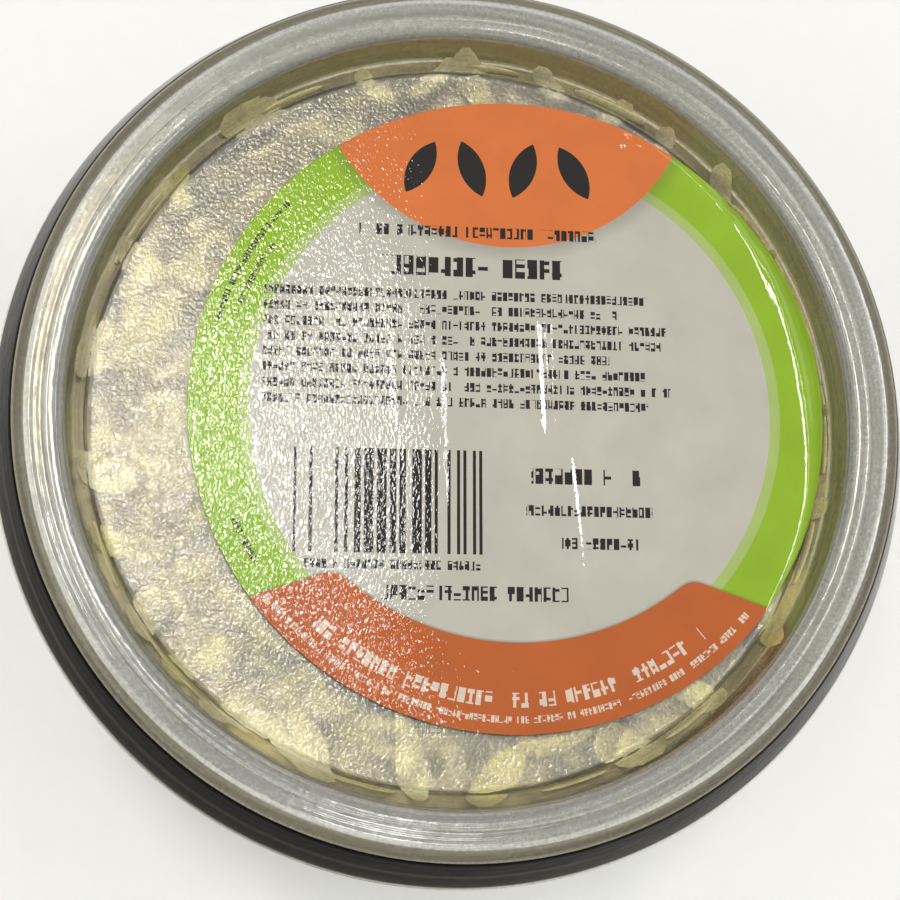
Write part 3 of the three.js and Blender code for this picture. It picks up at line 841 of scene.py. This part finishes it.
class Lay:
    """The three faces of the salad, each a flat field with a depth below the plastic."""

    def __init__(self, scene):
        self.tub = scene.coleslaw_tub
        self.lid = scene.coleslaw_lid
        self.salad = scene.coleslaw_salad
        self.floor = self.tub.base_recess + self.tub.wall
        self.ceiling = panel_height(self.lid) - self.lid.wall
        self.middle_radius = inner_radius(self.tub, (self.floor + self.ceiling) / 2)

    def under_panel(self, u, v, depth):
        return np.c_[u, v, self.ceiling - depth]

    def on_base(self, u, v, depth):
        return np.c_[u, v, self.floor + depth]

    def round_wall(self, u, v, depth):
        height = np.clip(v, self.floor + 1.6 * MM, self.ceiling + 6 * MM)
        radius = inner_radius(self.tub, height) - depth
        # The foot's rounded corner draws the lowest strips in.
        corner = self.floor + 3.2 * MM
        radius = radius - np.where(height < corner, (corner - height) ** 2 / (5 * MM), 0)
        turn = u / self.middle_radius
        return np.c_[radius * np.cos(turn), radius * np.sin(turn), height]

    def up_well(self, u, v, depth):
        """Under the panel's edge, then up the well's outer face: v is the way out and up from the bend."""
        softness = 0.7 * MM
        up = (v + np.hypot(v, softness)) / 2
        out = v - up
        height = self.ceiling + up - softness / 2 - depth
        lean = math.tan(self.lid.well_slope)
        foot = self.lid.well_foot_radius + self.lid.wall / math.cos(self.lid.well_slope)
        face = foot + (height - panel_height(self.lid)) * lean + 0.08 * MM
        radius = np.minimum(face + out + depth, inner_radius(self.tub, height) + 0.05 * MM)
        turn = u / self.middle_radius
        return np.c_[radius * np.cos(turn), radius * np.sin(turn), height]

    def strips_under_panel(self, draw, kind, count, deepest):
        strips = []
        reach_most = self.lid.well_foot_radius - 4.5 * MM
        for i in range(count):
            reach = reach_most * math.sqrt((i + 0.5) / count)
            turn = math.tau * GOLDEN * i + draw.uniform(-0.2, 0.2)
            strips.append(strip_like(
                draw, kind, u=reach * math.cos(turn), v=reach * math.sin(turn),
                heading=draw.uniform(0, math.pi), depth=draw.uniform(0, deepest)))
            strip = strips[-1]
            # A strip near the edge lies along the wall rather than across it.
            if reach + strip["length"] / 2 > reach_most + 3 * MM:
                strip["heading"] = turn + math.pi / 2 + draw.uniform(-0.35, 0.35)
                strip["bend"] = strip["length"] / reach
                strip["length"] *= 0.8
        return strips

    def strips_round_wall(self, draw, kind, count, deepest):
        strips = []
        for i in range(count):
            strip = strip_like(
                draw, kind, u=math.tau * self.middle_radius * ((i * GOLDEN) % 1), v=0,
                heading=draw.gauss(0, 0.55), depth=draw.uniform(-self.salad.bite, deepest))
            strip["bend"] *= 0.7
            rise = strip["length"] / 2 * abs(math.sin(strip["heading"])) + strip["width"] / 2
            low, high = self.floor + 2 * MM + rise, self.ceiling - rise
            strip["v"] = low + (high - low) * ((i + draw.random()) / count)
            strips.append(strip)
        return strips

    def strips_on_base(self, draw, kind, count, deepest):
        strips = []
        reach_most = self.tub.foot_radius - 5 * MM
        for i in range(count):
            reach = reach_most * math.sqrt((i + 0.5) / count)
            turn = math.tau * GOLDEN * i
            heading = draw.uniform(0, math.pi)
            if reach > reach_most - 8 * MM:
                heading = turn + math.pi / 2 + draw.uniform(-0.3, 0.3)
            strips.append(strip_like(
                draw, kind, u=reach * math.cos(turn), v=reach * math.sin(turn),
                heading=heading, depth=draw.uniform(-self.salad.bite, deepest)))
        return strips


def finish_heap(piece, material):
    piece.data.materials.append(material)
    place(piece, "coleslaw")


# Operators


class COLESLAW_OT_tub(bpy.types.Operator):
    """Turns the clear tub with its foot ring and flange"""

    bl_idname = "coleslaw.tub"
    bl_label = "Tub"

    def execute(self, context):
        tub, colours = context.scene.coleslaw_tub, context.scene.coleslaw_colours
        piece = turned("tub_shell", tub_outline(tub))
        wall = moulded_plastic("clear polypropylene wall", tuple(colours.tub), 0.02, 0.06, 0.2)
        # The flange's dark olive tint is painted shade.
        flange = moulded_plastic("polypropylene flange with painted shade", tuple(colours.flange), 0.03, 0.1, 0.35)
        give_zones(piece, (wall, flange), lambda radius, height: int(height > SHADE_TINT_FROM))
        place(piece, "tub")
        return {"FINISHED"}


class COLESLAW_OT_lid(bpy.types.Operator):
    """Turns the clear snap lid with its sunken frosted panel"""

    bl_idname = "coleslaw.lid"
    bl_label = "Lid"

    def execute(self, context):
        lid, colours = context.scene.coleslaw_lid, context.scene.coleslaw_colours
        piece = turned("lid_shell", lid_outline(lid))
        rim = moulded_plastic("hazy polypropylene rim", None, 0.3, 0.12, 0.35, rings=CROWN_RINGS)
        well = moulded_plastic("clear polypropylene well", None, 0.03, 0.06, 0.3, 1.3, WELL_RINGS)
        # The skirt's dark tint is painted shade, and its near-white edge ring is a painted highlight.
        skirt = moulded_plastic("polypropylene skirt with painted shade and highlight", None, 0.02, 0.1, 0.35, 1.1, SKIRT_RINGS)
        panel = frosted_panel("frosted polypropylene panel", colours)
        crown_foot = LID_TOP - 1.9 * MM
        skirt_from = lid.crown_outer_radius + 1.9 * MM

        def zone_of(radius, height):
            if radius < lid.frost_radius:
                return 3
            if height < crown_foot and radius < lid.crown_step_radius:
                return 1
            return 2 if radius > skirt_from else 0

        give_zones(piece, (rim, well, skirt, panel), zone_of)
        place(piece, "lid")
        return {"FINISHED"}


class COLESLAW_OT_sticker(bpy.types.Operator):
    """Lays the round sticker on the panel and up its right edge, with creases in its film"""

    bl_idname = "coleslaw.sticker"
    bl_label = "Sticker"

    # Creases: two ends in millimetres from the sticker's middle, width and share of full height
    CREASES = [
        ((3.8, 14.0), (4.6, -3.8), 0.38, 1.0),
        ((5.5, 14.8), (6.0, -3.8), 0.45, 0.6),
        ((21.9, 10.9), (21.9, 5.9), 0.9, 0.9),
        ((8.1, -5.5), (10.3, -26.0), 0.4, 0.9),
        ((9.1, -5.9), (11.5, -23.2), 0.4, 0.6),
        ((-20.5, 22.0), (-19.6, 10.7), 0.45, 0.8),
        ((-16.0, 12.0), (-15.4, -2.0), 0.5, 0.5),
        ((-9.0, 8.0), (-8.2, -14.0), 0.5, 0.4),
        ((14.0, 3.0), (15.0, -12.0), 0.7, 0.35),
        ((33.5, 27.0), (38.6, 5.0), 0.5, 0.5),
    ]
    # Small mounds where the film stands off: middle, radius and share of the crease's height
    MOUNDS = [
        (16.4, 37.8, 1.2, 2.4), (30.7, 29.6, 1.1, 2.2), (32.8, 26.0, 0.8, 1.4), (18.5, 35.5, 0.7, 1.2),
    ]

    def execute(self, context):
        scene = context.scene
        sticker, lid = scene.coleslaw_sticker, scene.coleslaw_lid
        rings = 112
        outline = [(sticker.radius * i / rings, 0) for i in range(rings + 1)]
        piece = turned("label_sticker", outline, steps=300)
        flat = points_of(piece.data)
        layer = piece.data.uv_layers.new(name="sticker")
        corners = np.empty(len(piece.data.loops), dtype=np.int32)
        piece.data.loops.foreach_get("vertex_index", corners)
        uv = flat[corners, :2] / (STICKER_SPAN * MM) + 0.5
        layer.data.foreach_set("uv", uv.astype(np.float32).ravel())
        lift = self.film_relief(flat[:, :2] / MM) * sticker.crease
        move_points(piece.data, self.pressed(sticker, lid, flat, lift))
        deselect_all()
        piece.select_set(True)
        context.view_layer.objects.active = piece
        modifier = piece.modifiers.new("paper", "SOLIDIFY")
        modifier.thickness = sticker.thickness
        modifier.offset = -1
        bpy.ops.object.modifier_apply(modifier=modifier.name)
        bpy.ops.object.shade_smooth_by_angle(angle=math.radians(50))
        piece.data.materials.append(printed_sticker("film over printed paper", scene.coleslaw_colours))
        place(piece, "label")
        return {"FINISHED"}

    def film_relief(self, flat):
        """Creases and slow waves of the film, as shares of the crease's height."""
        relief = np.zeros(len(flat))
        for start, end, width, share in self.CREASES:
            start, end = np.array(start), np.array(end)
            along = end - start
            run = ((flat - start) @ along) / (along @ along)
            nearest = start + np.clip(run, 0, 1)[:, None] * along
            away = np.hypot(*(flat - nearest).T)
            fade = np.clip(np.minimum(run, 1 - run) * 5 + 0.35, 0, 1)
            relief += share * fade * np.exp(-((away / width) ** 2))
        for x, y, radius, share in self.MOUNDS:
            relief += share * np.exp(-(((flat[:, 0] - x) ** 2 + (flat[:, 1] - y) ** 2) / radius**2))
        slow = [noise.noise(Vector((x / 11, y / 17, 3.1))) for x, y in flat]
        return relief + 0.8 * (np.array(slow) + 0.6)

    def pressed(self, sticker, lid, flat, lift):
        """The flat sticker laid on the panel, its far edge bridging the panel's fillet."""
        x = flat[:, 0] + sticker.centre_x
        y = flat[:, 1] + sticker.centre_y
        reach = np.hypot(x, y)
        upright = math.pi / 2 - lid.well_slope
        # It bridges most widely a little above its right-hand middle, and is drawn tighter to both sides.
        side = np.abs(np.degrees(np.arctan2(y, x)) - 12) / 24
        edge_bend = sticker.edge_bend * (1 - 0.5 * np.clip(side, 0, 1) ** 1.5)
        bend_from = lid.well_foot_radius - edge_bend * math.tan(upright / 2)
        past = np.maximum(reach - bend_from, 0)
        turn = np.minimum(past / edge_bend, upright)
        climb = past - turn * edge_bend
        base = sticker.gap + sticker.thickness + lift
        bend = edge_bend - base
        radius = np.minimum(reach, bend_from) + bend * np.sin(turn) + climb * np.cos(turn)
        height = np.where(
            past > 0, edge_bend - bend * np.cos(turn) + climb * np.sin(turn), base)
        share = radius / np.maximum(reach, 1e-9)
        return np.c_[x * share, y * share, panel_height(lid) + height]


class COLESLAW_OT_dressing(bpy.types.Operator):
    """Fills the tub with the dressed bulk that the shreds lie in"""

    bl_idname = "coleslaw.dressing"
    bl_label = "Dressing"

    def execute(self, context):
        lay = Lay(context.scene)
        tub = lay.tub
        low, high = lay.floor, lay.ceiling - 1.6 * MM
        heights = np.linspace(low + 3.4 * MM, lay.ceiling - 0.4 * MM, 40)
        side = inner_radius(tub, heights)
        outline = [(tub.foot_radius * 0.97 * i / 24, low) for i in range(25)]
        corner = low + 2 * MM
        outline.append((tub.foot_radius + 1.0 * MM, low + 0.9 * MM))
        outline.append((inner_radius(tub, corner) - 0.6 * MM, corner))
        outline += list(zip(side.tolist(), heights.tolist()))
        # A rim of brine and dressing is drawn up between the well and the wall.
        rim_top = lay.ceiling + 0.3 * MM
        rim_inner = lay.lid.well_foot_radius + 0.4 * MM
        outline += [(inner_radius(tub, rim_top) - 0.1 * MM, rim_top), (rim_inner, rim_top - 0.1 * MM)]
        outline += [((rim_inner - 1.6 * MM) * (1 - i / 30), high) for i in range(31)]
        piece = turned("salad_bed", outline, steps=220)
        mesh = piece.data
        points = points_of(mesh)
        normals = np.empty(len(mesh.vertices) * 3)
        mesh.vertex_normals.foreach_get("vector", normals)
        normals = normals.reshape(-1, 3)
        relief = np.array([
            noise.fractal(Vector(p) / (5 * MM), 0.8, 2.0, 3) for p in points])
        # Most of the bulk stands back from the plastic; its swells reach into the wall.
        inward = np.clip(0.75 * MM - relief * 1.15 * MM, -lay.salad.bite, 2.2 * MM)
        reach = np.hypot(*points[:, :2].T)
        at_rim = (points[:, 2] > lay.ceiling - 0.5 * MM) & (reach > rim_inner - 0.1 * MM)
        inward[at_rim] *= 0.12
        move_points(mesh, points - normals * inward[:, None])
        piece.data.materials.append(dressing("mayonnaise dressing"))
        place(piece, "coleslaw")
        return {"FINISHED"}


class COLESLAW_OT_cabbage(bpy.types.Operator):
    """Lays the cabbage strips under the panel, round the wall, on the base and up the rim's gap"""

    bl_idname = "coleslaw.cabbage"
    bl_label = "Cabbage"

    # Strips that run out from under the panel and up the gap: angle in degrees, width, top over the panel
    STANDING = [
        (124, 6.8, 4.0), (87.5, 4.2, 5.0), (94, 2.6, 2.6), (75, 3.2, 3.4), (66, 3.0, 3.0),
        (54, 2.8, 3.8), (41, 3.4, 4.2), (28, 2.2, 2.4), (4, 2.6, 2.8), (-14, 3.2, 3.4),
        (-30, 3.8, 3.8), (-49, 4.4, 3.8), (-63, 6.0, 4.6), (-84, 5.0, 3.8), (-98, 4.0, 3.0),
        (-115, 6.5, 4.2), (-126, 4.6, 4.0), (-136, 4.4, 3.8), (-147, 5.2, 4.0), (-158, 4.0, 3.2),
        (155, 4.2, 3.0), (170, 6.0, 3.4), (190, 5.0, 3.0), (141, 3.0, 2.4), (104, 2.6, 2.2),
    ]

    def execute(self, context):
        lay = Lay(context.scene)
        draw = random.Random(lay.salad.seed)
        leaf = wet_food("sliced cabbage leaf", [
            (0.0, "#D2CBB0"), (0.35, "#C8C194"), (0.7, "#B8B168"), (1.0, "#9A9846")], 0.16, 0.4)
        # The rib's pale tones, given to the strips standing in the shaded gap, are partly painted light.
        rib = wet_food("pale cabbage rib with painted light", [
            (0.0, "#EFECDC"), (0.4, "#EAE6CA"), (0.75, "#E2DEB2"), (1.0, "#D4D094")], 0.1, 0.35)
        blank = shred_blank("shred_blank", 8, 8)
        heaps = [
            ("cabbage_top", lay.strips_under_panel(draw, CABBAGE, lay.salad.top_shreds, 3.2 * MM),
             lay.under_panel),
            ("cabbage_wall", lay.strips_round_wall(draw, CABBAGE, lay.salad.wall_shreds, 1.3 * MM),
             lay.round_wall),
            ("cabbage_base", lay.strips_on_base(draw, CABBAGE, lay.salad.base_shreds, 1.0 * MM),
             lay.on_base),
            ("cabbage_rim", self.standing(lay, draw), lay.up_well),
        ]
        for name, strips, wrap in heaps:
            finish_heap(bent_copies(name, blank, strips, wrap), rib if name == "cabbage_rim" else leaf)
        bpy.data.objects.remove(blank)
        return {"FINISHED"}

    def standing(self, lay, draw):
        strips = []
        for turn, width, top in self.STANDING:
            # It stands upright at its outer end and curves off to one side under the panel.
            whole = top + draw.uniform(4, 12)
            bend = draw.choice((-1, 1)) * draw.uniform(0.4, 2.2)
            rise = whole * math.sin(bend) / bend
            strip = strip_like(
                draw, CABBAGE, u=math.radians(turn) * lay.middle_radius, v=(top - rise / 2) * MM,
                heading=(math.pi - bend) / 2, depth=draw.uniform(0, 0.2) * MM)
            strip.update(
                length=whole * MM, width=width * MM, thickness=0.45 * MM, ripple=0, curl=0,
                bend=bend, taper=draw.uniform(0.3, 0.8), tint=draw.uniform(0, 1))
            strips.append(strip)
        for i in range(14):
            # Strips that lie along the gap's foot
            turn = math.tau * (i * GOLDEN % 1)
            strip = strip_like(
                draw, CABBAGE, u=turn * lay.middle_radius, v=draw.uniform(0.9, 1.6) * MM,
                heading=draw.uniform(-0.05, 0.05), depth=draw.uniform(0, 0.2) * MM)
            strip.update(
                length=draw.uniform(6, 14) * MM, width=draw.uniform(1.2, 2.0) * MM, thickness=0.4 * MM,
                bend=0, ripple=0, curl=0, tint=draw.uniform(0.3, 1))
            strips.append(strip)
        return strips


class COLESLAW_OT_carrot(bpy.types.Operator):
    """Lays the sticks of carrot among the cabbage"""

    bl_idname = "coleslaw.carrot"
    bl_label = "Carrot"

    def execute(self, context):
        lay = Lay(context.scene)
        draw = random.Random(lay.salad.seed + 1)
        root = wet_food("grated carrot", [
            (0.0, "#D9A05E"), (0.5, "#D98B3E"), (1.0, "#C9722B")], 0.2, 0.42)
        blank = shred_blank("stick_blank", 6, 5)
        share = lay.salad.carrots // 5
        heaps = [
            ("carrot_top", lay.strips_under_panel(draw, CARROT, share, 2.4 * MM), lay.under_panel),
            ("carrot_wall", lay.strips_round_wall(draw, CARROT, share * 3, 0.5 * MM), lay.round_wall),
            ("carrot_base", lay.strips_on_base(draw, CARROT, share, 0.5 * MM), lay.on_base),
        ]
        for name, strips, wrap in heaps:
            finish_heap(bent_copies(name, blank, strips, wrap), root)
        bpy.data.objects.remove(blank)
        return {"FINISHED"}


class COLESLAW_OT_onion(bpy.types.Operator):
    """Lays the slivers of onion and the specks of pepper among the cabbage"""

    bl_idname = "coleslaw.onion"
    bl_label = "Onion and pepper"

    def execute(self, context):
        lay = Lay(context.scene)
        draw = random.Random(lay.salad.seed + 2)
        bulb = wet_food("sliced onion", [(0.0, "#E3DEDA"), (0.6, "#CFC3C4"), (1.0, "#B7A4AC")], 0.2, 0.3)
        pepper = wet_food("ground pepper", [(0.0, "#4A4036"), (0.5, "#2F2923"), (1.0, "#7A5B3A")], 0.1, 0.6)
        blank = shred_blank("sliver_blank", 6, 4)
        share = lay.salad.onions // 4
        few = lay.salad.specks // 4
        heaps = [
            ("onion_top", lay.strips_under_panel(draw, ONION, share, 2.0 * MM), lay.under_panel, bulb),
            ("onion_wall", lay.strips_round_wall(draw, ONION, share * 3, 0.4 * MM), lay.round_wall, bulb),
            ("pepper_top", lay.strips_under_panel(draw, SPECK, few, 0.3 * MM), lay.under_panel, pepper),
            ("pepper_wall", lay.strips_round_wall(draw, SPECK, few * 3, 0.1 * MM), lay.round_wall, pepper),
        ]
        for name, strips, wrap, material in heaps:
            finish_heap(bent_copies(name, blank, strips, wrap), material)
        bpy.data.objects.remove(blank)
        return {"FINISHED"}


class COLESLAW_OT_studio(bpy.types.Operator):
    """Sets the pale floor, the soft lights and the camera"""

    bl_idname = "coleslaw.studio"
    bl_label = "Studio"

    # Lamps: name, place, width and depth, the setting that holds their watts, share of it, tint
    LAMPS = [
        ("key", (-0.03, 0.112, 0.6), 0.08, 0.12, "key_power", 1.0, "#FFFFFF"),
        ("over_left", (-0.22, 0.08, 0.6), 0.025, 0.4, "over_power", 0.6, "#FFFFFF"),
        ("over_right", (0.34, 0.08, 0.6), 0.03, 0.4, "over_power", 1.0, "#FFFFFF"),
        ("warm", (-0.0686, 0.128, 0.6), 0.021, 0.055, "warm_power", 1.0, "#FFE7A0"),
        ("foot", (0.04, -0.021, 0.6), 0.03, 0.03, "foot_power", 1.0, "#FFFFFF"),
        ("strip_left", (-0.95, -0.4, 0.95), 0.45, 1.3, "strip_power", 1.0, "#FFFFFF"),
        ("strip_right", (0.95, -0.4, 0.95), 0.45, 1.3, "strip_power", 0.3, "#FFFFFF"),
    ]

    def execute(self, context):
        scene, studio = context.scene, context.scene.coleslaw_studio
        deselect_all()
        bpy.ops.mesh.primitive_plane_add(size=4, location=(0, 0, -0.05 * MM))
        floor = context.object
        floor.name = "floor"
        floor.data.materials.append(paper_floor("pale card"))
        self.set_world(scene, studio.world)
        for name, at, width, depth, setting, share, tone in self.LAMPS:
            self.add_light(name, at, width, depth, getattr(studio, setting) * share, tone)
        self.add_camera(scene, studio)
        scene.view_settings.view_transform = "Standard"
        scene.cycles.use_light_tree = False
        scene.cycles.max_bounces = 7
        scene.cycles.diffuse_bounces = 2
        scene.cycles.glossy_bounces = 2
        scene.cycles.transmission_bounces = 7
        return {"FINISHED"}

    def set_world(self, scene, strength):
        world = bpy.data.worlds.new("studio")
        world.use_nodes = True
        tree = world.node_tree
        tree.nodes.clear()
        grey = add(tree, "Background", linear("#ECECEA"), strength)
        output = tree.nodes.new("ShaderNodeOutputWorld")
        tree.links.new(grey, output.inputs["Surface"])
        scene.world = world

    def looking(self, at, target):
        """A place and a turn that look at the target, with +Y upright."""
        back = (at - target).normalized()
        right = Vector((0, 1, 0)).cross(back).normalized()
        turn = Matrix((right, back.cross(right), back)).transposed().to_4x4()
        return Matrix.Translation(at) @ turn

    def add_light(self, name, at, width, depth, watts, tone):
        light = bpy.data.lights.new(name, "AREA")
        light.color = linear(tone)[:3]
        light.shape = "RECTANGLE"
        light.size = width
        light.size_y = depth
        light.energy = watts
        lamp = bpy.data.objects.new(name, light)
        lamp.matrix_world = self.looking(Vector(at), Vector((0, 0, LID_TOP / 2)))
        # What the plastic lets through is already lit straight through it.
        lamp.visible_transmission = False
        bpy.context.scene.collection.objects.link(lamp)

    def add_camera(self, scene, studio):
        centre = Vector((0, 0, LID_TOP))
        lean = Vector((
            math.sin(studio.tilt) * math.cos(studio.azimuth),
            math.sin(studio.tilt) * math.sin(studio.azimuth),
            math.cos(studio.tilt),
        ))
        eye = centre + lean * studio.distance
        aim = Vector((studio.aim_x, studio.aim_y, LID_TOP))
        lens = bpy.data.cameras.new("camera")
        lens.lens = studio.lens
        lens.sensor_width = 36
        lens.clip_start = 0.01
        camera = bpy.data.objects.new("camera", lens)
        camera.matrix_world = self.looking(eye, aim)
        scene.collection.objects.link(camera)
        scene.camera = camera


class COLESLAW_PT_panel(bpy.types.Panel):
    """Lists the pieces in the order in which they are built"""

    bl_idname = "COLESLAW_PT_panel"
    bl_label = "Coleslaw tub"
    bl_space_type = "VIEW_3D"
    bl_region_type = "UI"
    bl_category = "Coleslaw"

    def draw(self, context):
        for operator in OPERATORS:
            self.layout.operator(operator.bl_idname)
        for name in SETTINGS:
            group = getattr(context.scene, name)
            box = self.layout.box()
            for field in group.bl_rna.properties.keys():
                if field not in {"rna_type", "name"}:
                    box.prop(group, field)


SETTINGS = {
    "coleslaw_tub": TubSizes,
    "coleslaw_lid": LidSizes,
    "coleslaw_sticker": StickerSizes,
    "coleslaw_salad": SaladSizes,
    "coleslaw_colours": Colours,
    "coleslaw_studio": StudioSettings,
}
OPERATORS = [
    COLESLAW_OT_studio,
    COLESLAW_OT_tub,
    COLESLAW_OT_lid,
    COLESLAW_OT_sticker,
    COLESLAW_OT_dressing,
    COLESLAW_OT_cabbage,
    COLESLAW_OT_carrot,
    COLESLAW_OT_onion,
]


def register():
    for item in [*SETTINGS.values(), *OPERATORS, COLESLAW_PT_panel]:
        bpy.utils.register_class(item)
    for name, group in SETTINGS.items():
        setattr(bpy.types.Scene, name, PointerProperty(type=group))


def unregister():
    for name in SETTINGS:
        delattr(bpy.types.Scene, name)
    for item in reversed([*SETTINGS.values(), *OPERATORS, COLESLAW_PT_panel]):
        bpy.utils.unregister_class(item)


def main():
    register()
    for operator in OPERATORS:
        group, name = operator.bl_idname.split(".")
        getattr(getattr(bpy.ops, group), name)()


if __name__ == "__main__":
    main()
